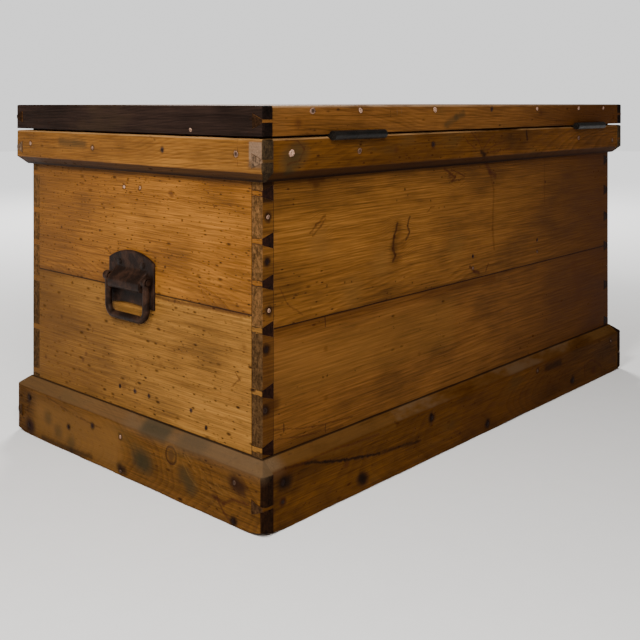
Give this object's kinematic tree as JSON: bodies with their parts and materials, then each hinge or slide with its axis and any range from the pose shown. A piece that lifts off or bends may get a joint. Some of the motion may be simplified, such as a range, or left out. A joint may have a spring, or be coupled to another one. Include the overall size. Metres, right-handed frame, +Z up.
{
  "type": "fitted chest",
  "caption": "Dovetailed pine storage chest with a plinth, an upper skirt, a rimmed hinged lid, iron drop handles at the ends and sliding tills inside.",
  "frame": {"origin": "on the floor under the middle of the carcase, on the underside of the middle batten", "axes": "+X along the length to the right-hand end, -Y to the front, +Y to the hinged back, +Z up"},
  "size_m": [0.988, 0.5807, 0.522],
  "materials": {
    "pine_end": "waxed old pine, golden tan",
    "pine_side": "waxed old pine, amber brown",
    "pine_bottom": "raw old pine",
    "pine_plinth": "waxed worn pine, brown",
    "pine_skirt": "waxed pine, golden brown",
    "pine_lid": "waxed pine, golden brown",
    "pine_dark": "blackened old pine",
    "pine_inside": "bare pine",
    "pine_till": "bare pine",
    "hinge_iron": "black iron, worn",
    "handle_iron": "dark brown iron with a worn sheen",
    "lock_steel": "dull steel",
    "screw_steel": "darkened steel"
  },
  "bodies": {
    "chest": {"right_end_board_lower": "pine_end", "right_end_board_upper": "pine_end", "left_end_board_lower": "pine_end", "left_end_board_upper": "pine_end", "back_board_lower": "pine_side", "back_board_upper": "pine_side", "front_board_lower": "pine_side", "front_board_upper": "pine_side", "bottom_boards": "pine_bottom", "bottom_battens": "pine_bottom", "plinth_front": "pine_plinth", "plinth_back": "pine_plinth", "plinth_right_end": "pine_plinth", "plinth_left_end": "pine_plinth", "skirt_front": "pine_skirt", "skirt_back": "pine_skirt", "skirt_right_end": "pine_skirt", "skirt_left_end": "pine_skirt", "right_partition": "pine_inside", "left_partition": "pine_inside", "right_lower_runner": "pine_inside", "right_upper_runner": "pine_inside", "left_lower_runner": "pine_inside", "left_upper_runner": "pine_inside", "right_hinge_chest_leaf": "hinge_iron", "right_hinge_pin": "hinge_iron", "left_hinge_chest_leaf": "hinge_iron", "left_hinge_pin": "hinge_iron", "right_handle_plate": "handle_iron", "right_handle_pin": "handle_iron", "left_handle_plate": "handle_iron", "left_handle_pin": "handle_iron", "lock_case": "lock_steel", "chest_screws": "screw_steel"},
    "lid": {"lid_board_front": "pine_lid", "lid_board_middle": "pine_lid", "lid_board_back": "pine_lid", "lid_rim_front": "pine_lid", "lid_rim_back": "pine_lid", "lid_rim_right_end": "pine_dark", "lid_rim_left_end": "pine_dark", "right_hinge_lid_leaf": "hinge_iron", "left_hinge_lid_leaf": "hinge_iron", "lock_strike": "lock_steel", "lid_screws": "screw_steel"},
    "right_bail": {"right_bail": "handle_iron"},
    "left_bail": {"left_bail": "handle_iron"},
    "upper_till": {"upper_till_front": "pine_till", "upper_till_back": "pine_till", "upper_till_right_end": "pine_till", "upper_till_left_end": "pine_till", "upper_till_bottom": "pine_till"},
    "lower_till": {"lower_till_front": "pine_till", "lower_till_back": "pine_till", "lower_till_right_end": "pine_till", "lower_till_left_end": "pine_till", "lower_till_bottom": "pine_till"}
  },
  "joints": [
    {"name": "lid_hinge", "type": "hinge", "parent": "chest", "child": "lid", "pos_m": [0, 0.2905, 0.48285], "axis": [-1, 0, 0], "range_deg": [0, 100]},
    {"name": "right_bail_swing", "type": "hinge", "parent": "chest", "child": "right_bail", "pos_m": [0.4853, 0, 0.277], "axis": [0, -1, 0], "range_deg": [0, 180]},
    {"name": "left_bail_swing", "type": "hinge", "parent": "chest", "child": "left_bail", "pos_m": [-0.4853, 0, 0.277], "axis": [0, 1, 0], "range_deg": [0, 180]},
    {"name": "upper_till_slide", "type": "slide", "parent": "chest", "child": "upper_till", "axis": [0, -1, 0], "range_m": [0, 0.259]},
    {"name": "lower_till_slide", "type": "slide", "parent": "chest", "child": "lower_till", "axis": [0, -1, 0], "range_m": [0, 0.259]}
  ]
}
